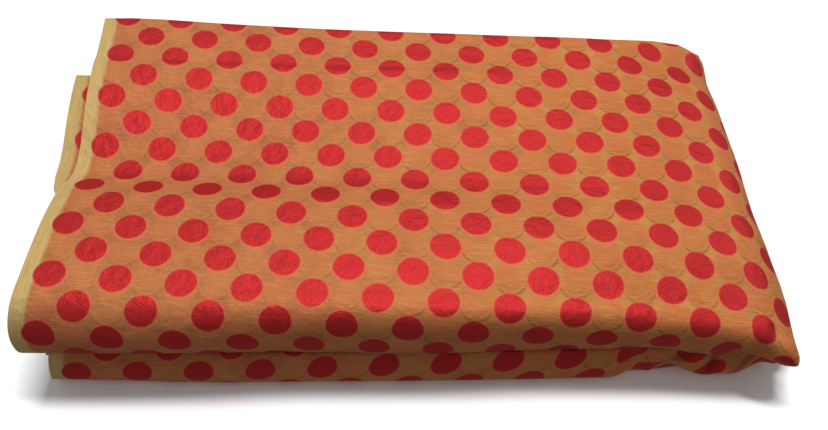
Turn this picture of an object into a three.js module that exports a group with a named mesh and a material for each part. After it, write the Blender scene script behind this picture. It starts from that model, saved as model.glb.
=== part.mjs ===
// A length of chanderi cotton, doubled across its width and folded back and forth into a lower
// and an upper packet. Each packet's outer leaf rolls round its inner leaves along the front.
// Millimetres, +Z up, X along the folds, front at -Y, origin under the middle of the footprint.
import * as THREE from "three";

// ---- Driving dimensions ----
const LEAF = 2; // one leaf of the doubled cloth: both plies and the air held between them
const LOWER_LEAVES = 8; // in the lower packet
const UPPER_LEAVES = 11; // in the upper packet
const PACKET_GAP = 3; // between the middle surfaces of the leaves where the packets touch
const SPANS = 8; // lengthwise facets from end to end

const LEFT_END = -262; // selvedge end of a leaf, at y = 0
const LEFT_SKEW = 0.035; // how far that end moves along +X for each millimetre towards the back
const RIGHT_END = { at: 275, skew: -0.085, most: 285 }; // centre-fold end, at y = 0 and at most
const BACK_CORNER = { start: 125, cut: 0.35 }; // right-hand ends draw in behind this y

// The tucked pair of leaves, counted up the upper packet: its back fold stops short of the
// others', and its selvedge ends slip out to the left, most at that fold.
const TUCKED = { low: 7, high: 8, fold: 92, out: 18, slipFrom: -70 };

// Top surface, as heights above the ground at named places from back to front. A row for each
// place along the length; roll and nose shape the big front roll, lowTop the packet under it.
const PLACES = [
  { name: "brim", y: 120 },
  { name: "panel", y: 88 },
  { name: "middle", y: 40 },
  { name: "valley", y: -12 },
  { name: "ridge", y: -46 },
  { name: "apron", y: -82 },
  { name: "brow", y: -112 },
];
const FLAT_PLACES = [50, -50]; // y of the points of a nearly flat leaf
const STATIONS = [
  {
    x: -280, brim: 98, panel: 101, middle: 98, valley: 82, ridge: 94, apron: 99, brow: 101,
    back: 148, roll: 34, nose: -163, lowTop: 38, lowNose: -156,
  },
  {
    x: -215, brim: 97, panel: 100, middle: 95, valley: 81, ridge: 95, apron: 99, brow: 99,
    back: 148, roll: 32, nose: -161, lowTop: 38, lowNose: -158,
  },
  {
    x: -130, brim: 95, panel: 98, middle: 91, valley: 81, ridge: 96, apron: 98, brow: 97,
    back: 146, roll: 28, nose: -157, lowTop: 38, lowNose: -158,
  },
  {
    x: -12, brim: 94, panel: 97, middle: 92, valley: 86, ridge: 96, apron: 96, brow: 93,
    back: 144, roll: 23, nose: -153, lowTop: 38, lowNose: -154,
  },
  {
    x: 126, brim: 91, panel: 93, middle: 92, valley: 90, ridge: 93, apron: 92, brow: 90,
    back: 142, roll: 18, nose: -147, lowTop: 38, lowNose: -150,
  },
  {
    x: 217, brim: 84, panel: 86, middle: 87, valley: 87, ridge: 88, apron: 88, brow: 87,
    back: 147, roll: 17, nose: -152, lowTop: 36, lowNose: -148,
  },
  {
    x: 258, brim: 73, panel: 73, middle: 76, valley: 77, ridge: 79, apron: 80, brow: 79,
    back: 151, roll: 16, nose: -154, lowTop: 36, lowNose: -145,
  },
  {
    x: 290, brim: 62, panel: 62, middle: 64, valley: 65, ridge: 68, apron: 69, brow: 67,
    back: 140, roll: 15, nose: -155, lowTop: 35, lowNose: -137,
  },
];
const LOW_ROLL = 11; // how far the lower packet's front roll bulges past its leaves
const BACK_BULGE = 9; // how far the middle of each packet's back face stands out past its top
const FOLD_REACH = 5; // how far an inner fold bulges past its leaves
const ROLL_CLEARANCE = 5; // between the front roll and the inner folds inside it
const ROLL_STEPS = 8; // facets round a front roll
const FOLD_STEPS = 4; // and round any other fold
const CUT_END = { back: 20, front: 28 }; // how far inside the packets the two cut ends stop
const UNEVEN_FOLDS = [0, 3.5, 1, 4.5, 2, 0.5, 4]; // inner folds stop short by these, in turn

const SILK_GOLD = new THREE.Color("#c08a4f");

// ---- Heights ----

// A column of STATIONS at x, eased from row to row.
function along(x, column) {
  const last = STATIONS.length - 1;
  if (x <= STATIONS[0].x) return STATIONS[0][column];
  if (x >= STATIONS[last].x) return STATIONS[last][column];
  const row = STATIONS.findIndex((station) => station.x > x) - 1;
  const here = STATIONS[row];
  const next = STATIONS[row + 1];
  return THREE.MathUtils.lerp(here[column], next[column], (x - here.x) / (next.x - here.x));
}

// Middle surface of the top leaf at (x, y): level past the first and last place.
function topLeaf(x, y) {
  const first = PLACES[0];
  const last = PLACES[PLACES.length - 1];
  if (y >= first.y) return along(x, first.name) - LEAF / 2;
  if (y <= last.y) return along(x, last.name) - LEAF / 2;
  const at = PLACES.findIndex((place) => place.y < y);
  const behind = PLACES[at - 1];
  const ahead = PLACES[at];
  const share = (behind.y - y) / (behind.y - ahead.y);
  return THREE.MathUtils.lerp(along(x, behind.name), along(x, ahead.name), share) - LEAF / 2;
}

// Middle surface of any leaf, counted from the bottom of the whole stack.
function leafHeight(leaf, x, y) {
  const lowTop = along(x, "lowTop") - LEAF / 2;
  if (leaf < LOWER_LEAVES) {
    return THREE.MathUtils.lerp(LEAF / 2, lowTop, leaf / (LOWER_LEAVES - 1));
  }
  const share = (leaf - LOWER_LEAVES) / (UPPER_LEAVES - 1);
  return THREE.MathUtils.lerp(lowTop + PACKET_GAP, topLeaf(x, y), share);
}

// ---- Ends ----

function isTucked(leaf) {
  return leaf >= LOWER_LEAVES + TUCKED.low && leaf <= LOWER_LEAVES + TUCKED.high;
}

function slip(leaf, y) {
  if (!isTucked(leaf)) return 0;
  return (TUCKED.out * Math.max(0, y - TUCKED.slipFrom)) / (TUCKED.fold - TUCKED.slipFrom);
}

function leftEnd(leaf, y) {
  return LEFT_END + LEFT_SKEW * y - slip(leaf, y);
}

function rightEnd(y) {
  const drawnIn = BACK_CORNER.cut * Math.max(0, y - BACK_CORNER.start);
  return Math.min(RIGHT_END.most, RIGHT_END.at + RIGHT_END.skew * y) - drawnIn;
}

function endToEnd(leaf, y, share) {
  return THREE.MathUtils.lerp(leftEnd(leaf, y), rightEnd(y), share);
}

// ---- The back-and-forth section ----
// Each function gives points { x, y, z } of the middle surface at one share of the length.

// Where a fold ends: front folds stop inside their packet's front roll, back folds along its
// bulging back face.
function foldTip(low, high, x, front) {
  const upper = low >= LOWER_LEAVES;
  const bottom = upper ? LOWER_LEAVES : 0;
  const leaves = upper ? UPPER_LEAVES : LOWER_LEAVES;
  const level = (((low + high) / 2 - bottom) / (leaves - 1)) * 2 - 1;
  const round = Math.sqrt(1 - level * level);
  const short = UNEVEN_FOLDS[low % UNEVEN_FOLDS.length];
  if (!front && isTucked(low)) return TUCKED.fold;
  if (!front) return along(x, "back") + BACK_BULGE * round - short;
  const bulge = upper ? along(x, "roll") : LOW_ROLL;
  const nose = along(x, upper ? "nose" : "lowNose");
  return nose + bulge * (1 - round) + ROLL_CLEARANCE + short;
}

// Half an ellipse from one leaf to the next, its tip at y = tip and its width = reach.
function turn(from, to, share, tip, reach, front, steps) {
  const points = [];
  const root = front ? tip + reach : tip - reach;
  for (let i = 0; i <= steps; i += 1) {
    const angle = (Math.PI * i) / steps;
    const y = root + (front ? -1 : 1) * reach * Math.sin(angle);
    const x = endToEnd(from, y, share);
    const start = leafHeight(from, x, root);
    const end = leafHeight(to, x, root);
    points.push({ x, y, z: (start + end) / 2 + ((start - end) / 2) * Math.cos(angle) });
  }
  return points;
}

function onLeaf(leaf, y, share) {
  const x = endToEnd(leaf, y, share);
  return { x, y, z: leafHeight(leaf, x, y) };
}

// The places along a leaf, in the order in which the path meets them. Leaves up to the one on
// which the upper packet lies are nearly flat, so they need few.
function run(leaf, share, front) {
  let ys = leaf <= LOWER_LEAVES ? [...FLAT_PLACES] : PLACES.map((place) => place.y);
  if (isTucked(leaf)) ys = ys.filter((y) => y < TUCKED.fold - 2 * FOLD_REACH);
  if (!front) ys.reverse();
  return ys.map((y) => onLeaf(leaf, y, share));
}

// The order in which the cloth passes through its leaves, from one cut end to the other.
function leafOrder() {
  const order = [];
  for (let leaf = LOWER_LEAVES - 2; leaf >= 0; leaf -= 1) order.push(leaf);
  order.push(LOWER_LEAVES - 1);
  order.push(LOWER_LEAVES);
  order.push(LOWER_LEAVES + UPPER_LEAVES - 1);
  for (let leaf = LOWER_LEAVES + UPPER_LEAVES - 2; leaf > LOWER_LEAVES; leaf -= 1) order.push(leaf);
  return order;
}

function sectionAt(share) {
  const order = leafOrder();
  const path = [];
  let front = true; // the first leaf runs towards the front
  order.forEach((leaf, i) => {
    const x = endToEnd(leaf, 0, share);
    const next = order[i + 1];
    if (i === 0) path.push(onLeaf(leaf, along(x, "back") - CUT_END.back, share));
    path.push(...run(leaf, share, front));
    if (next === undefined) {
      path.push(onLeaf(leaf, along(x, "nose") + CUT_END.front, share));
      return;
    }
    const upper = leaf >= LOWER_LEAVES;
    const rolls = Math.abs(next - leaf) > 1;
    const betweenPackets = leaf < LOWER_LEAVES && next >= LOWER_LEAVES;
    let tip = foldTip(Math.min(leaf, next), Math.max(leaf, next), x, front);
    let reach = FOLD_REACH;
    if (betweenPackets) tip = along(x, "back");
    if (rolls) {
      tip = along(x, upper ? "nose" : "lowNose");
      reach = upper ? along(x, "roll") : LOW_ROLL;
    }
    path.push(...turn(leaf, next, share, tip, reach, front, rolls ? ROLL_STEPS : FOLD_STEPS));
    front = !front;
  });
  return path;
}

// Both faces of the leaf at one share of the length: the middle points moved half a leaf
// thickness to each side, with the corners mitred.
function facesAt(share) {
  const path = sectionAt(share);
  const normal = (a, b) => {
    const length = Math.hypot(b.y - a.y, b.z - a.z);
    return { y: -(b.z - a.z) / length, z: (b.y - a.y) / length };
  };
  return path.map((point, i) => {
    const before = normal(path[Math.max(i - 1, 0)], path[Math.max(i, 1)]);
    const after = normal(path[Math.min(i, path.length - 2)], path[Math.min(i + 1, path.length - 1)]);
    const mean = { y: before.y + after.y, z: before.z + after.z };
    const squared = mean.y * mean.y + mean.z * mean.z;
    const scale = LEAF / squared;
    return {
      left: [point.x, point.y + mean.y * scale, point.z + mean.z * scale],
      right: [point.x, point.y - mean.y * scale, point.z - mean.z * scale],
    };
  });
}

// The sections at all shares of the length, joined into one closed sheet.
function foldedSheet() {
  const sections = [];
  for (let i = 0; i <= SPANS; i += 1) sections.push(facesAt(i / SPANS));
  const count = sections[0].length;
  const positions = [];
  sections.forEach((faces) => faces.forEach(({ left, right }) => positions.push(...left, ...right)));
  const at = (section, point, side) => (section * count + point) * 2 + side;
  const triangles = [];
  const quad = (a, b, c, d) => triangles.push(a, b, c, a, c, d);
  for (let s = 0; s < SPANS; s += 1) {
    for (let p = 0; p < count - 1; p += 1) {
      quad(at(s, p, 0), at(s + 1, p, 0), at(s + 1, p + 1, 0), at(s, p + 1, 0));
      quad(at(s, p, 1), at(s, p + 1, 1), at(s + 1, p + 1, 1), at(s + 1, p, 1));
    }
    const last = count - 1;
    quad(at(s, 0, 0), at(s, 0, 1), at(s + 1, 0, 1), at(s + 1, 0, 0));
    quad(at(s, last, 0), at(s + 1, last, 0), at(s + 1, last, 1), at(s, last, 1));
  }
  for (let p = 0; p < count - 1; p += 1) {
    quad(at(0, p, 0), at(0, p + 1, 0), at(0, p + 1, 1), at(0, p, 1));
    quad(at(SPANS, p, 0), at(SPANS, p, 1), at(SPANS, p + 1, 1), at(SPANS, p + 1, 0));
  }
  const geometry = new THREE.BufferGeometry();
  geometry.setAttribute("position", new THREE.Float32BufferAttribute(positions, 3));
  geometry.setIndex(triangles);
  geometry.computeVertexNormals();
  return geometry;
}

const cloth = new THREE.Mesh(
  foldedSheet(),
  new THREE.MeshStandardMaterial({ color: SILK_GOLD, roughness: 0.7, metalness: 0 }),
);
cloth.name = "folded_cloth";

// The origin lies on the ground under the middle of the footprint.
cloth.geometry.computeBoundingBox();
const middle = cloth.geometry.boundingBox.getCenter(new THREE.Vector3());
cloth.position.set(-middle.x, -middle.y, 0);

const fabric = new THREE.Group();
fabric.add(cloth);

export default fabric;
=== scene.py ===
"""A length of chanderi cotton, doubled across its width and folded back and forth into a bundle.

The cloth is one sheet. A flat grid is laid out with a column for each place across the width and a
row for each place along the length, finer where the cloth shows, and then each vertex is carried to
its place in the folds. Lengths are millimetres until the mesh is made, and metres from there on.
"""

import math

import bpy
import numpy as np
from mathutils import Matrix, Vector


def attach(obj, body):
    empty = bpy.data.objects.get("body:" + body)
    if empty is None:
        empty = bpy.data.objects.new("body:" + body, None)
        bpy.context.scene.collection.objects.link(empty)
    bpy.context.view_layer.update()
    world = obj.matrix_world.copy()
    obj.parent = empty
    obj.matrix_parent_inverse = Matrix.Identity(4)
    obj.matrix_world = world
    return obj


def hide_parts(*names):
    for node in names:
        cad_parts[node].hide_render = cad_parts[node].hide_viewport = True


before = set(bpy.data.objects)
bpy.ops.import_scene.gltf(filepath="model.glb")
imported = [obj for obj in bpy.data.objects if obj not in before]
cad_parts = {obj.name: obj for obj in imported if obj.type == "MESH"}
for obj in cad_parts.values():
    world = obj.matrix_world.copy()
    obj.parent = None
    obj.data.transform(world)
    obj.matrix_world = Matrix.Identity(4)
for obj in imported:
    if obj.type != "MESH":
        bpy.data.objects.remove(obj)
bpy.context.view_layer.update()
bpy.ops.object.select_all(action="DESELECT")

MM = 0.001

# ---- The cloth ----
CLOTH_WIDTH = 1120  # from selvedge to selvedge
THREAD_THICKNESS = 0.4
SMOOTH_ANGLE = 60  # degrees between faces that are shaded as one surface
CLOTH_MAP = "cloth"  # the UV map: metres from the selvedge and along the length

# ---- What is woven into it ----
DOT_PITCH = 46  # between dots of one row, and between like rows
DOT_RADIUS = 11.2
DOT_BLUR = 1.5  # the width of a dot's edge
DOT_RAGGED = 0.5  # how far that edge strays over its threads
DOT_STEPS = 1.6  # how long its steps are
FIRST_DOT = 20  # from the selvedge to the first column of dots
HALO = 1.6  # the paler ring of loose floats round a dot, which lies a little towards the front
HALO_DROP = 0.8
HALO_BLUR = 3
HALO_STRENGTH = 0.75
SELVEDGE = 11
SELVEDGE_BLUR = 4
SELVEDGE_STRENGTH = 0.9
BARE_EDGE = 8.5  # no dot reaches nearer to the selvedge
BARE_BLUR = 0.6
STREAK = (24, 0.05)  # the selvedge's streaks: how long, and how wide as a share of that

# The dots of the ply beneath, which show through as ghosts, each with painted shade in dark lines under
# it.
GHOST_RADIUS = 11.6
GHOST_BLUR = 5  # by the weave over it
GHOST_LINE = 2.4  # how far a line of painted shade reaches out under its ghost
GHOST_ARCS = ((0, 0.95), (4.4, 0.4))  # each line: how far within the rim, and how strong
ARC_BLUR = 1.2
NEAR_FOLD = (140, 420)  # from the selvedge: where the plies begin to lie closer, and lie closest
SHEER = (0.5, 1)  # how clearly the ply beneath shows at those two places

THREAD_STEP = 1.7  # threads lie 0.3 mm apart, and are drawn this coarse so that they show
THREAD_WAVER = {"Distortion": 1.5, "Detail": 1, "Detail Scale": 0.3}
THREAD_GAPS = {"closed": 0.7, "dark": 0.17}  # where the weave is closed, and how dark its gaps are
TWILL_STEP = 2.4  # along the width; real floats step by 0.6 mm
TWILL_WAVER = {"Distortion": 0.6, "Detail": 1, "Detail Scale": 0.2}
WAVE_PERIOD = 0.31416  # of a wave texture of scale 1
LOOSE_FLOATS = {"from": -90, "to": -170, "least": 0.12, "most": 0.5}  # looser to the front, by length
LIT_FLOATS = (-0.02, 1.02)  # the range of slant and grain from the darkest red to the lightest: painted sheen on the floats
GRAIN = 1.5  # the size of the unevenness in the threads
CRINKLE = 1.2  # how deep the crinkles are
CRINKLE_SIZE = 9

# Patches in the cloth: the size of the noise in millimetres, how far it is drawn out along the
# width, the range of it that counts, and what the two ends of that range give.
PATCHES = {
    "clouds": (55, 1, 0.32, 0.68, 0, 1),  # ruddier ground
    "smudges": (15, 1, 0.45, 0.75, 0, 0.45),  # darker ground
    "slubs": (1.3, 14, 0.5, 0.8, 0, 0.3),  # thick pale threads
    "ghosts": (26, 1, 0.4, 0.62, 0.45, 1),  # where the ghosts show
    "arcs": (16, 1, 0.38, 0.6, 0.25, 0.9),  # where the painted shade lines under them show
    "floats": (24, 1, 0.45, 0.65, 0, 0.25),  # where more floats lie loose
}

# Gloss of the ground and of a dot.
GLOSS = {"Metallic": (0.2, 0.42), "Roughness": (0.58, 0.46)}

# Sharp wrinkles and soft folds in the cloth, in millimetres from the selvedge and along the length:
# where, how long and wide, how far they slant in degrees, and how dark the painted shade in them is.
WRINKLES = (
    (436, 46, 19, 1.8, -3, 0.6),
    (482, 47, 20, 1.8, -4, 0.6),
    (458, 24, 19, 1.6, -4, 0.5),
    (499, 19, 18, 1.8, -6, 0.6),
    (458, -22, 20, 1.6, -5, 0.5),
    (502, -24, 18, 1.8, -7, 0.6),
    (470, 17, 70, 2.4, -2, 0.3),
    (413, 27, 15, 1.6, -4, 0.3),
    (433, -44, 16, 1.8, -5, 0.3),
    (474, -838, 46, 17, 84, 1.0),  # painted shade of soft folds in the lower packet's front
    (500, -841, 44, 12, 100, 1.0),
    (530, -846, 34, 13, 62, 1.0),
)
WRINKLE_RIM = 0.6  # in half lengths and half widths, as is the blur
WRINKLE_BLUR = 1
WRINKLE_SHADE = 0.55  # how much of the painted shade colour the darkest takes

# ---- The bundle, in the coordinates of its flat footprint ----
FOOTPRINT_MIDDLE = (4.1, -3.3)  # the frame's own origin
PLY = CLOTH_WIDTH / 2  # one ply of the doubled cloth, from selvedge to centre fold
LEAF = 2  # a doubled leaf pressed flat
LOWER_LEAVES = 8
UPPER_LEAVES = 11
TOP = LOWER_LEAVES + UPPER_LEAVES - 1
PACKET_GAP = 3
LEFT_END = -262  # where the columns start, for reading STATIONS

# Where the selvedges lie, by y, and how much further in those on the lower packet's front lie.
LEFT_Y = (-160, -121, -74, -30, 15, 57, 102, 130, 150)
LEFT_X = (-270, -266.5, -264, -260, -257.8, -259.3, -259.8, -261, -262)
LOW_FRONT = {"in": 9, "from_y": -70, "over": 50}

# The pair of leaves whose back fold is tucked in: the y of that fold, how far the pair slips out of
# the left side and between which y, and where it is divided on the way from crest to fold.
TUCKED = {
    "low": LOWER_LEAVES + 7, "high": LOWER_LEAVES + 8,
    "fold": 89, "out": 16, "slip": (-48, -14), "divided": 0.75,
}

# Heights of the top of the bundle before its right-hand end droops, and the edges of its folds.
# A row for each place along X.
STATION_COLUMNS = (
    "x", "brim", "panel", "middle", "valley", "crest", "apron", "brow", "shoulder",
    "valley_y", "crest_y", "back", "roll", "nose", "undercut", "low_top", "low_nose",
)
STATIONS = (
    (-280, 100, 101, 94, 81, 94, 99, 101, 101, -9, -40, 148, 33, -162, 2, 38, -156),
    (-239, 100, 100, 92, 81, 95, 99, 100, 100, -9, -43, 150, 33, -162, 3, 38, -156),
    (-150, 98, 97, 87, 82, 95, 97, 98, 97, -10, -45, 147, 29, -160, 4, 38, -157),
    (-60, 96, 96, 89, 85, 95, 97, 97, 96, -12, -48, 145, 22, -154, 2, 38, -155),
    (30, 95, 96, 92, 88, 95, 97, 96, 94, -16, -51, 144, 20, -152, 1, 38, -153),
    (120, 95, 94, 92, 90, 94, 97, 94, 91, -20, -54, 142, 18, -149, 4, 38, -150),
    (180, 93, 92, 91, 90, 94, 94, 91, 88, -24, -54, 143, 20, -150, 8, 37, -148),
    (230, 88, 91, 91, 90, 92, 92, 88, 86, -24, -54, 151, 20, -152, 14, 37, -151),
    (290, 88, 91, 91, 90, 92, 92, 88, 84, -24, -54, 150, 20, -156, 8, 37, -140),
)

# The edge of the tucked fold shows through the leaves over it as a low step, up to the middle of
# their length.
PRESSED_Y = 95
PRESSED_LINE = {"step": 1.6, "width": 4, "reach": 16, "from_x": 20, "over": 110}
BRIM_Y = 120
PANEL_Y = 88
MIDDLE_Y = 40
APRON_Y = -82
BROW_Y = -112
SHOULDER_Y = -128

# How steeply the top leaf falls away towards the centre fold, in degrees: a row for each y, and in it
# the slope at each of DROOP_AT, which are distances from the selvedge.
DROOP_AT = (0, 406, 457, 491, 514, 535, 553, 568)
DROOP_Y = (-150, -100, -50, 0, 50, 90, 125, 150)
DROOP_ANGLES = (
    (0, 0, 2, 7, 13, 26, 42, 54),
    (0, 0, 4, 9, 16, 32, 48, 60),
    (0, 0, 5, 9, 17, 35, 56, 69),
    (0, 0, 5, 9, 17, 40, 62, 76),
    (0, 0, 4, 10, 19, 41, 66, 82),
    (0, 0, 4, 11, 22, 42, 67, 84),
    (0, 0, 4, 11, 22, 44, 74, 90),
    (0, 0, 2, 6, 14, 47, 80, 90),
)

# Lower leaves fall less than the top one, and at the front corner hardly at all: the corner of the
# big roll is pinched flat.
PINCH = 0.7
PINCH_Y = -105
PINCH_OVER = 40

# The cloth lies a little gathered along its rows: the length it covers, as a share of its own, by y,
# on the left and from GATHERED on.
EASE_Y = (-160, -146, -100, -55, -10, 15, 50, 135)
EASE_LEFT = (1.0, 1.0, 1.0, 0.989, 0.979, 0.979, 0.99, 0.992)
EASE_RIGHT = (0.985, 1.008, 1.012, 1.012, 1.008, 1.004, 0.994, 0.988)
GATHERED = 290  # from the selvedge
GATHERED_OVER = 40
BURIED_EASE = 0.028  # how much more the leaves are crumpled at the bottom of the bundle

# The folds at the front and the back. Each inner fold stops a little short of its neighbours, and
# the rolls leave the folds inside them room.
ROLL_BEND_X = (-200, 0)
ROLL_BEND = (0.92, 0.7)  # 1 is an ellipse, and less gives the big roll a flatter front and tighter brow
ROLL_CLEARANCE = 7
LOW_ROLL = 11
LOW_OVERCUT = 5  # how far the upper half of the lower roll is drawn back under the big one
LOW_CLEARANCE = 11
BACK_BULGE = 9  # how far the middle leaves stand out at the back
FOLD_REACH = 5  # from an inner fold's root to its tip
UNEVEN_FOLDS = (0, 3.5, 1, 4.5, 2, 0.5, 4)
CUT_END = {"back": 20, "front": 28}  # how far the cloth's two cut ends lie in

PLY_SHARE = 0.24  # of a leaf's room, from its middle to each ply
LEAST_GAP = 0.3  # from a leaf's middle to each ply, on the ground
SEED = 7
UNEVEN_ENDS = (-2.5, 3)  # how far a leaf's selvedges may stand out or in

# The row of dots that passes along the crest, counted from the back, by the place along X. Rows
# slant a little to the folds.
CREST_ROW_X = (-241, -15, 169, 259)
CREST_ROW = (2.29, 2.18, 2.1, 2.08)
LOW_ROW_ABOVE_NOSE = 10.4  # a row of dots on the lower packet's front, measured up from its nose
LOW_ROW_TILT = -0.04

# Places where the bundle was pulled or pushed by hand, in footprint millimetres: the line along
# which it was moved, how far round it the cloth follows, and the way it went.
PULL_COLUMNS = (
    "from_x", "from_y", "from_z", "to_x", "to_y", "to_z", "reach", "move_x", "move_y", "move_z",
)
PULLS = (
    (262, -140, 70, 262, -140, 70, 22, -1, 0, 4),  # the front corner stands up a little
    (268, -142, 65, 249, -149, 54, 6, 0, 5, -5),  # the pucker beside it
    (277, -146, 58, 257, -152, 48, 6, 0, -3, 2),
    (279, -151, 50, 279, -151, 50, 13, 1, -3, 0),
    (214, -148, 52, 228, -147, 52, 17, 0, -3, -6),  # the big roll's lower rim sags
    (204, -143, 8, 217, -142, 8, 14, 0, 9, 4),  # the lower packet's rim, drawn back and lifted
    (241, -145, 6, 241, -145, 6, 11, 0, 3, 2),
    (280, -132, 10, 290, -120, 20, 18, -3, 7, 2),
    (178, -147, 12, 176, -147, 34, 11, 0, 8, 0),  # soft folds in its front
    (204, -146, 12, 206, -146, 34, 11, 0, 8, 0),
    (236, -143, 28, 258, -140, 28, 14, 0, 9, 0),  # and a hollow over its curled rim
)

# ---- How finely the sheet is divided ----
FINE = 8  # fine cells in a coarse one where the cloth shows
INNER_FINE = 2  # and on the ply behind it
CORNER_CELLS = 2  # where that ply is as fine as the outer one, counted from the centre fold
PLY_CELLS = 23
TURN_CELLS = 6  # round the centre fold
LEAF_CELLS = (2, 6, 4)  # back fold to the pressed line, to the crest, to the front fold
FOLD_CELLS = 7  # round an inner fold
ROLL_CELLS = 5  # round the big front roll
LOW_ROLL_CELLS = 3

# ---- The stage, in metres ----
FLOOR_SIZE = 60  # so wide that its edge lies at the horizon from every side

# The dome's strength at the horizon and overhead, what is added below the horizon, and by how much
# the whole is raised in front and behind.
DOME = {"horizon": 0.12, "zenith": 0.42, "below": 0.14, "front": 1.15, "back": 1.1}

# The softboxes: where each hangs, its width and depth, its power in watts, and what it falls on.
SOFTBOX_AIM = (0, 0, 0.05)
SOFTBOXES = {
    "top_softbox": ((0.1, 0.22, 3.4), (1.2, 0.35), 45, "everything"),
    "floor_softbox": ((0.1, 0.22, 3.4), (1.2, 0.3), 54, "floor"),
    "back_softbox": ((0.2, 1.5, 2.65), (2.2, 2.0), 45, "cloth"),
    "side_softbox": ((2.6, 1.6, 1.5), (1.5, 1.5), 26, "cloth"),
}

# The camera: its lens and its sensor's width in millimetres, where it stands, which way it looks,
# and which way its own top points.
CAMERA_LENS = 41.25
CAMERA_SENSOR = 36
CAMERA_PLACE = (-0.00787, -0.48937, 0.65305)
CAMERA_FORWARD = (0.01583, 0.61285, -0.79004)
CAMERA_UP = (-0.01654, 0.79019, 0.61264)


# ---- Curves through a few places ----


def curve(at, knots, values):
    """Smooth curve through the values at the knots, without overshoot. Knots rise, and each of
    them and each value may be an array shaped like at."""
    at = np.asarray(at, float)
    knots = np.array([np.broadcast_to(k, at.shape) for k in knots], float)
    values = np.array([np.broadcast_to(v, at.shape) for v in values], float)
    step = np.diff(knots, axis=0)
    slope = np.diff(values, axis=0) / step
    before, after = slope[:-1], slope[1:]
    same_way = before * after > 0
    mean = 2 * before * after / np.where(same_way, before + after, 1)
    tangent = np.concatenate([slope[:1], np.where(same_way, mean, 0), slope[-1:]])
    at = np.clip(at, knots[0], knots[-1])
    cell = np.clip((knots < at).sum(0) - 1, 0, len(knots) - 2)[None]

    def pick(rows, shift=0):
        return np.take_along_axis(rows, cell + shift, 0)[0]

    width = pick(step)
    t = (at - pick(knots)) / width
    rise = pick(values) * (1 + 2 * t) * (1 - t) ** 2 + pick(values, 1) * t * t * (3 - 2 * t)
    lean = pick(tangent) * t * (1 - t) ** 2 - pick(tangent, 1) * t * t * (1 - t)
    return rise + lean * width


def along(x, column):
    """A column of STATIONS at x."""
    at = STATION_COLUMNS.index(column)
    return curve(x, [row[0] for row in STATIONS], [row[at] for row in STATIONS])


def smooth_step(t):
    t = np.clip(t, 0, 1)
    return t * t * (3 - 2 * t)


# ---- The shape of one leaf ----


def top_surface(x, y):
    """Height of the top leaf at (x, y), before its right-hand end droops."""
    crest_y = along(x, "crest_y")
    behind = curve(
        y,
        (crest_y, along(x, "valley_y"), MIDDLE_Y, PANEL_Y, BRIM_Y),
        [along(x, name) for name in ("crest", "valley", "middle", "panel", "brim")],
    )
    ahead = curve(
        y,
        (SHOULDER_Y, BROW_Y, APRON_Y, crest_y),
        [along(x, name) for name in ("shoulder", "brow", "apron", "crest")],
    )
    past_line = smooth_step((y - PRESSED_Y) / PRESSED_LINE["width"] + 0.5) - 0.5
    fading = np.exp(-np.abs(y - PRESSED_Y) / PRESSED_LINE["reach"])
    fading = fading * (1 - smooth_step((x - PRESSED_LINE["from_x"]) / PRESSED_LINE["over"]))
    return np.where(y > crest_y, behind, ahead) - PRESSED_LINE["step"] * past_line * fading


def leaf_height(leaf, x, y):
    """Middle of a leaf, counted from the bottom of the bundle, before the droop."""
    low_top = along(x, "low_top") - LEAF / 2
    if leaf < LOWER_LEAVES:
        return LEAF / 2 + (low_top - LEAF / 2) * leaf / (LOWER_LEAVES - 1)
    share = (leaf - LOWER_LEAVES) / (UPPER_LEAVES - 1)
    base = low_top + PACKET_GAP
    return base + (top_surface(x, y) - LEAF / 2 - base) * share


def is_tucked(leaf):
    """Whether a leaf is one of the pair that is tucked in behind."""
    return TUCKED["low"] <= leaf <= TUCKED["high"]


def fold_tip(low, x, front):
    """Where the inner fold between a leaf and the one above it ends."""
    upper = low >= LOWER_LEAVES
    bottom = LOWER_LEAVES if upper else 0
    leaves = UPPER_LEAVES if upper else LOWER_LEAVES
    level = (low + 0.5 - bottom) / (leaves - 1) * 2 - 1
    bulge = math.sqrt(1 - level * level)
    short = UNEVEN_FOLDS[low % len(UNEVEN_FOLDS)]
    if not front and is_tucked(low):
        return np.full_like(x, TUCKED["fold"])
    if not front:
        return along(x, "back") + BACK_BULGE * bulge - short
    if upper:
        tilted = along(x, "undercut") * (1 - level) / 2
        return along(x, "nose") + along(x, "roll") * (1 - bulge) + ROLL_CLEARANCE + tilted + short
    tilted = LOW_OVERCUT * (1 + level) / 2
    return along(x, "low_nose") + LOW_ROLL * (1 - bulge) + LOW_CLEARANCE + tilted + short


# ---- The path of the cloth through the bundle ----


def leaf_order():
    """Leaves in the order in which the cloth passes through them. The first runs to the front."""
    lower = list(range(LOWER_LEAVES - 2, -1, -1)) + [LOWER_LEAVES - 1]
    upper = [LOWER_LEAVES] + list(range(TOP, LOWER_LEAVES, -1))
    return lower + upper


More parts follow.
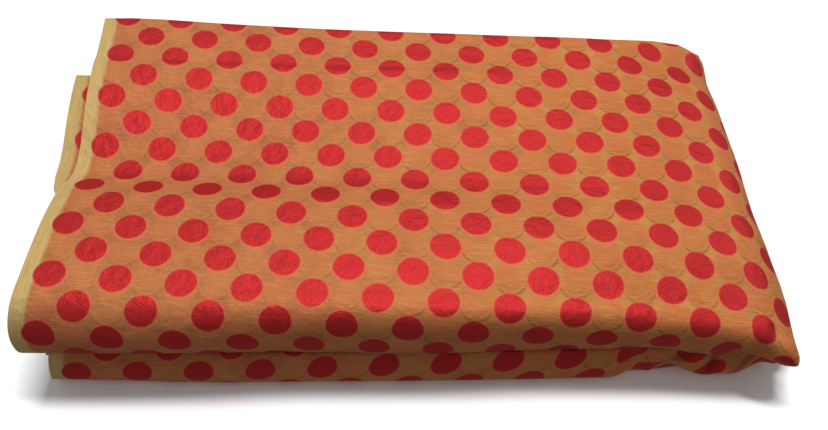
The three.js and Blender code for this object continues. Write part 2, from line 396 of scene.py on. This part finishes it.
def turns(order, x):
    """What joins each leaf to the next: where its tip and its root lie, how its upper and lower half
    are drawn back and how square it bends, and how finely it is cut."""
    joins = []
    front = True
    for leaf, following in zip(order, order[1:]):
        reach, undercut = np.full_like(x, FOLD_REACH), np.zeros_like(x)
        cells, fine, bend, overcut = FOLD_CELLS, 1, 1, 0
        if abs(following - leaf) > 1:
            upper = leaf >= LOWER_LEAVES
            tip = along(x, "nose" if upper else "low_nose")
            fine = FINE
            if upper:
                cells, reach = ROLL_CELLS, along(x, "roll")
                bend, undercut = np.interp(x, ROLL_BEND_X, ROLL_BEND), along(x, "undercut")
            else:
                cells, reach, overcut = LOW_ROLL_CELLS, np.full_like(x, LOW_ROLL), LOW_OVERCUT
        elif leaf < LOWER_LEAVES <= following:
            tip = along(x, "back")
        else:
            tip = fold_tip(min(leaf, following), x, front)
        root = tip + (reach if front else -reach)
        joins.append({
            "tip": tip, "root": root, "undercut": undercut, "overcut": overcut, "bend": bend,
            "cells": cells, "fine": fine,
        })
        front = not front
    return joins


def leaf_marks(leaf, x, back_root, front_root):
    """The y of the rows at which a leaf is divided, from its back fold to its front fold."""
    pressed = np.full_like(x, PRESSED_Y)
    crest = along(x, "crest_y")
    if is_tucked(leaf):
        pressed = back_root * TUCKED["divided"] + crest * (1 - TUCKED["divided"])
    return back_root, np.minimum(pressed, back_root - 1), crest, front_root


def lay_path(x):
    """The rows of the middle surface: the y and the height of each at every x, the leaf it is on, a
    fraction between two, how many leaves the cloth has passed, whether it is a coarse row, and
    whether it lies on the lower packet's outside."""
    order = leaf_order()
    joins = turns(order, x)
    path = {"y": [], "z": [], "leaf": [], "passed": [], "coarse": [], "low_face": []}

    def add(y, z, leaf, passed, coarse, low_face):
        path["y"].append(y)
        path["z"].append(z)
        path["leaf"].append(np.broadcast_to(leaf, len(y)))
        path["passed"].append(np.broadcast_to(passed, len(y)))
        path["coarse"].append(coarse)
        path["low_face"].append(np.broadcast_to(low_face, len(y)))

    for i, leaf in enumerate(order):
        start = joins[i - 1]["root"] if i else along(x, "back") - CUT_END["back"]
        end = joins[i]["root"] if i < len(joins) else along(x, "nose") + CUT_END["front"]
        to_front = i % 2 == 0
        back, front = (start, end) if to_front else (end, start)
        marks = leaf_marks(leaf, x, back, front)
        stretches = [
            np.linspace(a, b, cells * FINE, endpoint=False)
            for a, b, cells in zip(marks, marks[1:], LEAF_CELLS)
        ]
        y = np.concatenate([*stretches, marks[-1][None]])
        y = y if to_front else y[::-1]
        z = leaf_height(leaf, np.broadcast_to(x, y.shape), y)
        add(y, z, leaf, i, np.arange(len(y)) % FINE == 0, leaf in (0, LOWER_LEAVES - 1))
        if i < len(joins):
            turn, following = joins[i], order[i + 1]
            step = np.arange(1, turn["cells"] * turn["fine"])
            share = step / (turn["cells"] * turn["fine"])
            angle = math.pi * share[:, None]
            out = np.sin(angle) ** turn["bend"]
            across = np.sign(np.cos(angle)) * np.abs(np.cos(angle)) ** turn["bend"]
            y = turn["root"] + (turn["tip"] - turn["root"]) * out
            y = y + out * (turn["undercut"] * (1 + across) + turn["overcut"] * (1 - across)) / 2
            low, high = leaf_height(leaf, x, turn["root"]), leaf_height(following, x, turn["root"])
            z = (low + high) / 2 + (low - high) / 2 * across
            low_face = abs(following - leaf) == LOWER_LEAVES - 1
            add(y, z, leaf + (following - leaf) * share, i + share, step % turn["fine"] == 0, low_face)
    return {name: np.concatenate(values) for name, values in path.items()}


# ---- From the path to the two plies ----


def left_end(leaf, y, low_face):
    """Where the selvedges of each row lie. The tucked pair slips out, most at its fold."""
    tucked = ((leaf >= TUCKED["low"]) & (leaf <= TUCKED["high"]))[:, None]
    start, end = TUCKED["slip"]
    slipping = smooth_step((y - start) / (end - start))
    drawn_in = LOW_FRONT["in"] * smooth_step((LOW_FRONT["from_y"] - y) / LOW_FRONT["over"])
    drawn_in = np.where(low_face[:, None], drawn_in, 0)
    return curve(y, LEFT_Y, LEFT_X) + drawn_in - np.where(tucked, TUCKED["out"] * slipping, 0)


def running_sum(steps):
    """Running sum of steps, given at the columns, from the first column on."""
    between = (steps[:, 1:] + steps[:, :-1]) / 2
    return np.concatenate([np.zeros((len(steps), 1)), np.cumsum(between, axis=1)], axis=1)


def middle_surface(path, x, wander):
    """Places of the middle surface between the plies by row and column, and the room that each
    leaf has there."""
    y, z = path["y"], path["z"]
    top = top_surface(np.broadcast_to(x, y.shape), y)
    run = PLY / (len(x) - 1)
    along_row = np.arange(len(x)) * run
    slopes = sum(
        np.interp(along_row, DROOP_AT, share) * np.interp(y, DROOP_Y, angles)
        for share, angles in zip(np.eye(len(DROOP_AT)), zip(*DROOP_ANGLES))
    )
    full = np.radians(slopes)
    firmness = 1 + PINCH * smooth_step((PINCH_Y - y) / PINCH_OVER + 0.5)
    lean = full * np.clip(z / top, 0, 1) ** firmness
    left = left_end(path["leaf"], y, path["low_face"])
    beyond = smooth_step((along_row - GATHERED) / GATHERED_OVER + 0.5)
    left_ease, right_ease = (np.interp(y, EASE_Y, ease) for ease in (EASE_LEFT, EASE_RIGHT))
    ease = left_ease + (right_ease - left_ease) * beyond
    ease = ease * (1 - BURIED_EASE * (1 - np.clip(z / top, 0, 1)) ** 2)
    reach = running_sum(ease * np.cos(lean)) * run
    fallen = z - running_sum(np.sin(lean)) * run
    places = np.stack([left + wander[:, None] + reach, y, fallen], axis=2)
    room = (top - running_sum(np.sin(full)) * run) / (TOP + 1)
    return places, room


def unit(vectors):
    return vectors / np.maximum(np.linalg.norm(vectors, axis=-1, keepdims=True), 1e-9)


def outward(places):
    """Unit normals of the middle surface, towards the outer ply, and directions along its rows."""
    across = unit(np.gradient(places, axis=1))
    onward = unit(np.gradient(places, axis=0))
    return unit(np.cross(across, onward)), across


def two_plies(places, room):
    """Places of the doubled cloth: the outer ply, round the centre fold, and back along the inner."""
    normal, across = outward(places)
    off_ground = np.maximum(places[:, :, 2] - THREAD_THICKNESS, LEAST_GAP)
    gap = np.minimum(PLY_SHARE * room, off_ground)[:, :, None]
    outer = places + normal * gap
    inner = places - normal * gap
    turn = []
    for k in range(1, TURN_CELLS):
        angle = math.pi * k / TURN_CELLS
        swing = normal[:, -1] * math.cos(angle) + across[:, -1] * math.sin(angle)
        turn.append(places[:, -1] + swing * gap[:, -1])
    return np.concatenate([outer, np.stack(turn, axis=1), inner[:, ::-1]], axis=1)


def cloth_width_at(columns):
    """Distance from the first selvedge for each column of the doubled cloth."""
    outer = np.linspace(0, PLY, columns)
    turn = np.full(TURN_CELLS - 1, PLY)
    return np.concatenate([outer, turn, CLOTH_WIDTH - outer[::-1]])


def cloth_length_at(sheet, passed, x):
    """Distance along the length for each row and column, so that the rows of dots lie as they do
    on the top leaf and on the lower packet's front. Hidden leaves take up the difference."""
    steps = np.linalg.norm(np.diff(sheet, axis=0), axis=2)
    run = np.concatenate([np.zeros((1, sheet.shape[1])), np.cumsum(steps, axis=0)])
    doubled_x = np.concatenate([x, np.full(TURN_CELLS - 1, x[-1]), x[::-1]])

    def row_at(value):
        return int(np.argmin(np.abs(passed - value)))

    order = leaf_order()
    top_at = order.index(TOP)
    crest = row_at(top_at) + LEAF_CELLS[2] * FINE
    roll_start = row_at(top_at - 1) + sum(LEAF_CELLS) * FINE
    brim = row_at(top_at + 1)
    low_at = order.index(LOWER_LEAVES - 1)
    low_nose = row_at(low_at - 0.5)
    low_start, low_end = row_at(low_at - 1), row_at(low_at)

    length = np.zeros_like(run)
    crest_length = -DOT_PITCH * np.interp(doubled_x, CREST_ROW_X, CREST_ROW)
    shown = slice(roll_start, brim + 1)
    length[shown] = crest_length + run[shown] - run[crest]
    natural = np.mean(length[roll_start] - run[roll_start] + run[low_nose])
    whole_rows = round((natural + LOW_ROW_ABOVE_NOSE) / DOT_PITCH)
    nose_length = DOT_PITCH * whole_rows - LOW_ROW_ABOVE_NOSE
    low = slice(low_start, low_end + 1)
    length[low] = nose_length + LOW_ROW_TILT * doubled_x + run[low] - run[low_nose]
    between = slice(low_end, roll_start + 1)
    share = (run[between] - run[low_end]) / (run[roll_start] - run[low_end])
    length[between] = length[low_end] + share * (length[roll_start] - length[low_end])
    before, after = slice(0, low_start), slice(brim + 1, None)
    length[before] = length[low_start] + np.mean(run[before] - run[low_start], axis=1, keepdims=True)
    length[after] = length[brim] + np.mean(run[after] - run[brim], axis=1, keepdims=True)
    return length


def pull_by_hand(sheet):
    """Moves the places along each of PULLS, softly, all leaves together."""
    moved = sheet.copy()
    for row in PULLS:
        pull = dict(zip(PULL_COLUMNS, row))
        start, end, move = (
            np.array([pull[kind + axis] for axis in "xyz"], float) for kind in ("from_", "to_", "move_")
        )
        line = end - start
        share = np.clip((sheet - start) @ line / max(line @ line, 1), 0, 1)
        away = np.linalg.norm(sheet - start - share[:, :, None] * line, axis=2)
        moved += np.exp(-((away / pull["reach"]) ** 2))[:, :, None] * move
    return moved


def fold_the_cloth():
    """The fine rows and columns of the whole sheet: places in millimetres in the frame, widths and
    lengths on the cloth, and which rows are coarse ones and which of them show."""
    columns = PLY_CELLS * FINE + 1
    x = np.clip(LEFT_END + np.linspace(0, PLY, columns), STATIONS[0][0], STATIONS[-1][0])
    path = lay_path(x)
    passed = path["passed"]
    order = leaf_order()
    draw = np.random.default_rng(SEED)
    ends = draw.uniform(*UNEVEN_ENDS, len(order))
    for even in (TOP, LOWER_LEAVES):
        ends[order.index(even)] = 0
    wander = np.interp(passed, np.arange(len(ends)), ends)
    sheet = two_plies(*middle_surface(path, x, wander))
    width = np.broadcast_to(cloth_width_at(columns), sheet.shape[:2])
    length = cloth_length_at(sheet, passed, x)
    sheet = pull_by_hand(sheet)
    sheet[:, :, 2] = np.maximum(sheet[:, :, 2], THREAD_THICKNESS / 2)
    sheet = sheet - np.array([*FOOTPRINT_MIDDLE, 0])
    top_at, low_at = order.index(TOP), order.index(LOWER_LEAVES - 1)
    on_top = (passed > top_at - 1) & (passed <= top_at)
    on_low_front = (passed > low_at - 1) & (passed < low_at)
    return sheet, width, length, path["coarse"], on_top | on_low_front


# ---- The mesh ----


def grid_places(mesh):
    """Vertex places as an array with a row for each."""
    flat = np.empty(len(mesh.vertices) * 3, np.float64)
    mesh.vertices.foreach_get("co", flat)
    return flat.reshape(-1, 3)


def set_places(mesh, places):
    mesh.vertices.foreach_set("co", places.astype(np.float32).ravel())
    mesh.update()


def select_faces(mesh, chosen):
    mesh.polygons.foreach_set("select", chosen)
    mesh.edges.foreach_set("select", np.zeros(len(mesh.edges), bool))
    mesh.vertices.foreach_set("select", np.zeros(len(mesh.vertices), bool))
    mesh.update()


def lay_out_grid(name, coarse_rows, coarse_columns):
    """A flat grid whose vertices lie on the coarse rows and columns, with the number of the fine
    column as x and of the fine row as y."""
    bpy.ops.mesh.primitive_grid_add(
        x_subdivisions=len(coarse_columns) - 1, y_subdivisions=len(coarse_rows) - 1, size=2
    )
    grid = bpy.context.object
    grid.name = grid.data.name = name
    places = grid_places(grid.data)
    column = np.rint((places[:, 0] + 1) / 2 * (len(coarse_columns) - 1)).astype(int)
    row = np.rint((places[:, 1] + 1) / 2 * (len(coarse_rows) - 1)).astype(int)
    set_places(grid.data, np.stack([coarse_columns[column], coarse_rows[row], np.zeros(len(row))], 1))
    return grid


def refine(grid, shown_rows, from_column, to_column, parts):
    """Divides each coarse cell between those columns, on the rows that show, into parts x parts."""
    mesh = grid.data
    corners = np.empty(len(mesh.loops), int)
    mesh.loops.foreach_get("vertex_index", corners)
    starts = np.empty(len(mesh.polygons), int)
    mesh.polygons.foreach_get("loop_start", starts)
    cells = grid_places(mesh)[corners]
    low, high = np.minimum.reduceat(cells, starts), np.maximum.reduceat(cells, starts)
    chosen = (high[:, 1] - low[:, 1] == FINE) & (high[:, 0] - low[:, 0] == FINE)
    chosen &= shown_rows[low[:, 1].astype(int)] & (low[:, 0] >= from_column) & (high[:, 0] <= to_column)
    bpy.ops.object.mode_set(mode="EDIT")
    bpy.ops.mesh.select_mode(type="FACE")
    bpy.ops.object.mode_set(mode="OBJECT")
    select_faces(mesh, chosen)
    bpy.ops.object.mode_set(mode="EDIT")
    bpy.ops.mesh.subdivide(number_cuts=parts - 1, ngon=False)
    bpy.ops.mesh.select_all(action="DESELECT")
    bpy.ops.object.mode_set(mode="OBJECT")


def carry_to_folds(grid, sheet, width, length):
    """Moves each vertex of the flat grid to its place in the folds, and gives the cloth a UV map in
    metres: u from the selvedge, v along the length."""
    mesh = grid.data
    spot = np.rint(grid_places(mesh)[:, :2]).astype(int)
    column, row = spot[:, 0], spot[:, 1]
    set_places(mesh, sheet[row, column] * MM)
    corners = np.empty(len(mesh.loops), int)
    mesh.loops.foreach_get("vertex_index", corners)
    flat = np.stack([width[row, column], length[row, column]], 1)[corners] * MM
    mesh.uv_layers[0].name = CLOTH_MAP
    mesh.uv_layers[0].data.foreach_set("uv", flat.astype(np.float32).ravel())


def make_cloth(material):
    sheet, width, length, coarse, shown = fold_the_cloth()
    ply = np.arange(0, PLY_CELLS * FINE + 1, FINE)
    turn = PLY_CELLS * FINE + np.arange(1, TURN_CELLS)
    coarse_columns = np.concatenate([ply, turn, ply + PLY_CELLS * FINE + TURN_CELLS])
    grid = lay_out_grid("doubled_chanderi_cloth", np.flatnonzero(coarse), coarse_columns)
    outer_end, inner_start = PLY_CELLS * FINE, PLY_CELLS * FINE + TURN_CELLS
    refine(grid, shown, 0, outer_end, FINE)
    refine(grid, shown, inner_start, inner_start + CORNER_CELLS * FINE, FINE)
    refine(grid, shown, inner_start + CORNER_CELLS * FINE, coarse_columns[-1], INNER_FINE)
    carry_to_folds(grid, sheet, width, length)
    grid.data.materials.append(material)
    thicken = grid.modifiers.new("cloth_thickness", "SOLIDIFY")
    thicken.thickness = THREAD_THICKNESS * MM
    thicken.offset = 0
    bpy.ops.object.modifier_apply(modifier=thicken.name)
    bpy.ops.object.shade_smooth_by_angle(angle=math.radians(SMOOTH_ANGLE))
    return grid


# ---- Materials ----


def colour(hex_code):
    """An sRGB hex colour as linear RGBA."""
    channels = [int(hex_code[i : i + 2], 16) / 255 for i in (1, 3, 5)]
    linear = [c / 12.92 if c <= 0.04045 else ((c + 0.055) / 1.055) ** 2.4 for c in channels]
    return (*linear, 1)


def add_node(tree, kind, settings=None, **inputs):
    """Adds a node with its settings and inputs, each input a value or another node's socket."""
    node = tree.nodes.new(kind)
    for name, value in (settings or {}).items():
        setattr(node, name, value)
    for name, value in inputs.items():
        socket = node.inputs[int(name[2:])] if name.startswith("in") else node.inputs[name]
        if isinstance(value, bpy.types.NodeSocket):
            tree.links.new(value, socket)
        else:
            socket.default_value = value
    return node


def nearest_spot(tree, at, shift):
    """Distance in millimetres from the middle of the nearest dot, or, with a shift, of the dot that
    lies so much to the right and back of it. Dots stand in rows, every second row half a pitch on."""
    distances = []
    for row in (0, DOT_PITCH / 2):
        moved = add_node(
            tree, "ShaderNodeVectorMath", {"operation": "ADD"},
            in0=at, in1=(row - FIRST_DOT - shift[0], row - shift[1], 0),
        )
        cell = add_node(
            tree, "ShaderNodeVectorMath", {"operation": "WRAP"},
            in0=moved.outputs[0], in1=(DOT_PITCH / 2,) * 3, in2=(-DOT_PITCH / 2,) * 3,
        )
        flat = add_node(
            tree, "ShaderNodeVectorMath", {"operation": "MULTIPLY"}, in0=cell.outputs[0], in1=(1, 1, 0)
        )
        length = add_node(tree, "ShaderNodeVectorMath", {"operation": "LENGTH"}, in0=flat.outputs[0])
        distances.append(length.outputs["Value"])
    return add_node(
        tree, "ShaderNodeMath", {"operation": "MINIMUM"}, in0=distances[0], in1=distances[1]
    ).outputs[0]


def disc(tree, distance, radius, blur, strength=1.0):
    """A disc of that radius, fading out over blur millimetres."""
    return add_node(
        tree, "ShaderNodeMapRange", {"interpolation_type": "SMOOTHSTEP"},
        in0=distance, in1=radius - blur / 2, in2=radius + blur / 2, in3=strength, in4=0.0,
    ).outputs[0]


def blotches(tree, at, size, across=1.0, detail=2.0):
    """Soft noise with blotches of that size in millimetres, drawn out across times along the width."""
    stretched = add_node(
        tree, "ShaderNodeVectorMath", {"operation": "MULTIPLY"}, in0=at, in1=(1 / across, 1, 1)
    )
    return add_node(
        tree, "ShaderNodeTexNoise",
        Vector=stretched.outputs[0], Scale=1 / size, Detail=detail, Roughness=0.55,
    ).outputs[0]


def chanderi():
    """Chanderi: a sheer plain weave of silk and fine cotton, with dots of red silk floats.

    It is so sheer that the dots of the ply beneath show as warm discs between the woven ones, each
    with a line of painted shade under it where the floats stand up. The silk gives a broad gloss in
    the thread's own colour, so the cloth is partly metallic, and the dots more than the ground.
    """
    material = bpy.data.materials.new("woven_chanderi_silk_cotton")
    material.use_nodes = True
    tree = material.node_tree
    shader = tree.nodes["Principled BSDF"]
    cloth_map = add_node(tree, "ShaderNodeUVMap", {"uv_map": CLOTH_MAP})
    at = add_node(
        tree, "ShaderNodeVectorMath", {"operation": "SCALE"}, in0=cloth_map.outputs[0], Scale=1 / MM
    ).outputs[0]
    axes = add_node(tree, "ShaderNodeSeparateXYZ", in0=at)
    width, length = axes.outputs[0], axes.outputs[1]
    grain = blotches(tree, at, GRAIN)
    patches = {}
    for name, (size, drawn_out, thin, thick, least, most) in PATCHES.items():
        patches[name] = add_node(
            tree, "ShaderNodeMapRange",
            in0=blotches(tree, at, size, drawn_out), in1=thin, in2=thick, in3=least, in4=most,
        ).outputs[0]

    # The selvedges are bare: the dots begin beyond them.
    from_edge = add_node(
        tree, "ShaderNodeMath", {"operation": "PINGPONG"}, in0=width, in1=CLOTH_WIDTH / 2
    ).outputs[0]
    band = disc(tree, from_edge, SELVEDGE, SELVEDGE_BLUR, SELVEDGE_STRENGTH)
    bare = disc(tree, from_edge, BARE_EDGE, BARE_BLUR)
    covered = add_node(tree, "ShaderNodeMath", {"operation": "SUBTRACT"}, in0=1.0, in1=bare).outputs[0]

    # Woven edges are stepped by the threads, so each disc's edge wanders a little.
    ragged = add_node(
        tree, "ShaderNodeMath", {"operation": "MULTIPLY_ADD"},
        in0=blotches(tree, at, DOT_STEPS), in1=2 * DOT_RAGGED, in2=-DOT_RAGGED,
    ).outputs[0]
    edge = add_node(
        tree, "ShaderNodeMath", {"operation": "ADD"}, in0=nearest_spot(tree, at, (0, 0)), in1=ragged
    ).outputs[0]
    dot = add_node(
        tree, "ShaderNodeMath", {"operation": "MULTIPLY"},
        in0=disc(tree, edge, DOT_RADIUS, DOT_BLUR), in1=covered,
    ).outputs[0]
    haloed = nearest_spot(tree, at, (0, -HALO_DROP))
    halo = disc(tree, haloed, DOT_RADIUS + HALO, HALO_BLUR, HALO_STRENGTH)

    # The ply beneath shows clearest towards the centre fold, where the two lie closest.
    near_fold = add_node(
        tree, "ShaderNodeMapRange", in0=width, in1=NEAR_FOLD[0], in2=NEAR_FOLD[1]
    ).outputs[0]
    closeness = add_node(
        tree, "ShaderNodeMapRange", in0=near_fold, in3=SHEER[0], in4=SHEER[1]
    ).outputs[0]
    ghost_middle = nearest_spot(tree, at, (DOT_PITCH / 2, 0))
    lowered_middle = nearest_spot(tree, at, (DOT_PITCH / 2, -GHOST_LINE))
    ghost = disc(tree, ghost_middle, GHOST_RADIUS, GHOST_BLUR)
    for share in (closeness, patches["ghosts"]):
        ghost = add_node(
            tree, "ShaderNodeMath", {"operation": "MULTIPLY"}, in0=ghost, in1=share
        ).outputs[0]
    # Painted shade: a dark line along the front side of each ghost, where its floats stand up.
    arcs = 0.0
    for within, strength in GHOST_ARCS:
        lowered = disc(tree, lowered_middle, GHOST_RADIUS - within, ARC_BLUR, strength)
        inside = disc(tree, ghost_middle, GHOST_RADIUS - within, ARC_BLUR, strength)
        arc = add_node(
            tree, "ShaderNodeMath", {"operation": "SUBTRACT", "use_clamp": True},
            in0=lowered, in1=inside,
        ).outputs[0]
        arcs = add_node(tree, "ShaderNodeMath", {"operation": "ADD"}, in0=arc, in1=arcs).outputs[0]
    for share in (closeness, patches["arcs"]):
        arcs = add_node(
            tree, "ShaderNodeMath", {"operation": "MULTIPLY"}, in0=arcs, in1=share
        ).outputs[0]

    # Threads run along the width and the length, and slant in the dots.
    weave = 1.0
    for direction in ("X", "Y"):
        threads = add_node(
            tree, "ShaderNodeTexWave", {"bands_direction": direction},
            Vector=at, Scale=WAVE_PERIOD / THREAD_STEP, **THREAD_WAVER,
        ).outputs["Fac"]
        weave = add_node(
            tree, "ShaderNodeMath", {"operation": "MULTIPLY"}, in0=threads, in1=weave
        ).outputs[0]
    gaps = add_node(
        tree, "ShaderNodeMapRange",
        in0=weave, in1=0.0, in2=THREAD_GAPS["closed"], in3=THREAD_GAPS["dark"], in4=0.0,
    ).outputs[0]
    twill = add_node(
        tree, "ShaderNodeTexWave", {"bands_direction": "DIAGONAL"},
        Vector=at, Scale=2 * WAVE_PERIOD / TWILL_STEP, **TWILL_WAVER,
    ).outputs["Fac"]

    # The floats lie most loosely, and slant clearest, towards the front and here and there elsewhere.
    loose = add_node(
        tree, "ShaderNodeMapRange", in0=length, in1=LOOSE_FLOATS["from"], in2=LOOSE_FLOATS["to"],
        in3=LOOSE_FLOATS["least"], in4=LOOSE_FLOATS["most"],
    ).outputs[0]
    loose = add_node(
        tree, "ShaderNodeMath", {"operation": "ADD"}, in0=loose, in1=patches["floats"]
    ).outputs[0]
    slant = add_node(tree, "ShaderNodeMath", {"operation": "SUBTRACT"}, in0=twill, in1=0.5).outputs[0]
    shine = add_node(
        tree, "ShaderNodeMath", {"operation": "MULTIPLY_ADD"}, in0=slant, in1=loose, in2=grain
    ).outputs[0]
    # Painted sheen: the red of the floats is painted lighter and darker along the twill's slant and the
    # grain.
    lit_float = add_node(
        tree, "ShaderNodeMapRange", in0=shine, in1=LIT_FLOATS[0], in2=LIT_FLOATS[1]
    ).outputs[0]

    wrinkle = 0.0
    for across, along_length, long, wide, slanted, dark in WRINKLES:
        turned = add_node(
            tree, "ShaderNodeMapping", {"vector_type": "TEXTURE"}, in0=at,
            in1=(across, along_length, 0), in2=(0, 0, math.radians(slanted)),
            in3=(long / 2, wide / 2, 1e6),
        )
        away = add_node(tree, "ShaderNodeVectorMath", {"operation": "LENGTH"}, in0=turned.outputs[0])
        wrinkle = add_node(
            tree, "ShaderNodeMath", {"operation": "MAXIMUM"},
            in0=disc(tree, away.outputs["Value"], WRINKLE_RIM, WRINKLE_BLUR, dark), in1=wrinkle,
        ).outputs[0]
    # Painted shade along the wrinkles and the soft folds.
    shade = add_node(
        tree, "ShaderNodeMath", {"operation": "MULTIPLY"}, in0=wrinkle, in1=WRINKLE_SHADE
    ).outputs[0]

    # Colours that pass from one to another. The ground is ruddy and cloudy by the selvedges, and
    # golden towards the centre fold, and the ghosts on it turn with it.
    tones = {}
    for name, share, first, second in (
        ("ruddy", patches["clouds"], "#B27544", "#A9603F"),
        ("golden", patches["clouds"], "#BB8246", "#B0713D"),
        ("ghost", near_fold, "#C6754C", "#B8683C"),
        ("selvedge", blotches(tree, at, *STREAK), "#A68C4E", "#CDB47C"),
        # a darker and a lighter red of the same floats, for their painted sheen
        ("red", lit_float, "#9A1E20", "#B42E30"),
    ):
        tones[name] = add_node(
            tree, "ShaderNodeMix", {"data_type": "RGBA"},
            in0=share, in6=colour(first), in7=colour(second),
        ).outputs[2]

    # Layer over layer, from the ground up: where each shows, and its colour.
    cloth = tones["ruddy"]
    for share, over in (
        (near_fold, tones["golden"]),
        (patches["smudges"], colour("#85532C")),
        (ghost, tones["ghost"]),
        (arcs, colour("#84562A")),
        (gaps, colour("#7A5426")),
        (patches["slubs"], colour("#DCA872")),
        (halo, colour("#C26848")),
        (band, tones["selvedge"]),
        (dot, tones["red"]),
        (shade, colour("#5A1A10")),
    ):
        cloth = add_node(
            tree, "ShaderNodeMix", {"data_type": "RGBA"}, in0=share, in6=cloth, in7=over
        ).outputs[2]
    tree.links.new(cloth, shader.inputs["Base Color"])

    for name, (on_ground, on_dot) in GLOSS.items():
        gloss = add_node(tree, "ShaderNodeMapRange", in0=dot, in3=on_ground, in4=on_dot)
        tree.links.new(gloss.outputs[0], shader.inputs[name])
    shader.inputs["Specular IOR Level"].default_value = 0.1
    shader.inputs["Specular Tint"].default_value = colour("#D8A080")

    # Relief in millimetres: crinkles and wrinkles, the raised floats of the dots, and the threads.
    twilled = twill
    for share in (dot, loose):
        twilled = add_node(
            tree, "ShaderNodeMath", {"operation": "MULTIPLY"}, in0=twilled, in1=share
        ).outputs[0]
    height = 0.0
    for relief, amount in (
        (blotches(tree, at, CRINKLE_SIZE, detail=3.0), CRINKLE),
        (dot, 0.12),
        (arcs, -0.25),
        (wrinkle, -0.5),
        (weave, 0.05),
        (twilled, 0.06),
        (grain, 0.02),
    ):
        height = add_node(
            tree, "ShaderNodeMath", {"operation": "MULTIPLY_ADD"}, in0=relief, in1=amount, in2=height
        ).outputs[0]
    bump = add_node(tree, "ShaderNodeBump", Height=height, Distance=MM, Strength=1.0)
    tree.links.new(bump.outputs[0], shader.inputs["Normal"])
    return material


# ---- Stage ----


def white_floor():
    """A floor that takes the cloth's shadow. The silk mirrors the dim dome below the horizon instead
    of it, and it throws no light back, so the cloth's lower folds stay in shade."""
    bpy.ops.mesh.primitive_plane_add(size=FLOOR_SIZE)
    floor = bpy.context.object
    floor.name = "pale_floor"
    material = bpy.data.materials.new("matt_white_paper")
    material.use_nodes = True
    shader = material.node_tree.nodes["Principled BSDF"]
    shader.inputs["Base Color"].default_value = colour("#FAFAFA")
    shader.inputs["Roughness"].default_value = 0.9
    floor.data.materials.append(material)
    floor.visible_glossy = False
    floor.visible_diffuse = False
    return floor


def hang_softbox(name, place, size, power):
    bpy.ops.object.light_add(type="AREA", location=place)
    light = bpy.context.object
    light.name = name
    light.data.shape = "RECTANGLE"
    light.data.size, light.data.size_y = size
    light.data.energy = power
    light.rotation_euler = (Vector(SOFTBOX_AIM) - Vector(place)).to_track_quat("-Z", "Y").to_euler()
    return light


def keep_to(light, piece):
    """Lets a light fall on that piece only."""
    group = bpy.data.collections.new(light.name + "_falls_on")
    group.objects.link(piece)
    light.light_linking.receiver_collection = group


def light_the_dome():
    """A dome of soft light, brighter overhead, that goes on dimly below the horizon."""
    world = bpy.data.worlds.new("soft_studio")
    bpy.context.scene.world = world
    world.use_nodes = True
    tree = world.node_tree
    direction = add_node(tree, "ShaderNodeTexCoord").outputs["Generated"]
    axes = add_node(tree, "ShaderNodeSeparateXYZ", in0=direction)
    height = axes.outputs[2]
    dome = add_node(
        tree, "ShaderNodeMapRange",
        in0=height, in1=0.0, in2=1.0, in3=DOME["horizon"], in4=DOME["zenith"],
    ).outputs[0]
    below = add_node(tree, "ShaderNodeMath", {"operation": "LESS_THAN"}, in0=height, in1=0.0).outputs[0]
    dome = add_node(
        tree, "ShaderNodeMath", {"operation": "MULTIPLY_ADD"}, in0=below, in1=DOME["below"], in2=dome
    ).outputs[0]
    raised = add_node(
        tree, "ShaderNodeMapRange",
        in0=axes.outputs[1], in1=-1.0, in2=1.0, in3=DOME["front"], in4=DOME["back"],
    ).outputs[0]
    background = tree.nodes["Background"]
    background.inputs["Color"].default_value = (1, 1, 1, 1)
    strength = add_node(tree, "ShaderNodeMath", {"operation": "MULTIPLY"}, in0=dome, in1=raised)
    tree.links.new(strength.outputs[0], background.inputs["Strength"])


def studio(cloth, floor):
    """The dome, a small softbox overhead and one more for the floor's shadow alone, and large ones
    behind and beside the cloth, whose gloss shows on the silk."""
    light_the_dome()
    lit = {"cloth": cloth, "floor": floor}
    for name, (place, size, power, falls_on) in SOFTBOXES.items():
        softbox = hang_softbox(name, place, size, power)
        if falls_on in lit:
            keep_to(softbox, lit[falls_on])
    bpy.context.scene.view_settings.view_transform = "Standard"


def camera():
    """Looks down on the cloth from the front, 52 degrees above the ground."""
    data = bpy.data.cameras.new("camera")
    data.lens = CAMERA_LENS
    data.sensor_width = CAMERA_SENSOR
    view = bpy.data.objects.new("camera", data)
    bpy.context.scene.collection.objects.link(view)
    forward, up = Vector(CAMERA_FORWARD), Vector(CAMERA_UP)
    turn = Matrix((forward.cross(up), up, -forward)).transposed()
    view.matrix_world = Matrix.Translation(CAMERA_PLACE) @ turn.to_4x4()
    bpy.context.scene.camera = view


camera()
cloth = make_cloth(chanderi())
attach(cloth, "root")
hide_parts("folded_cloth")
studio(cloth, white_floor())
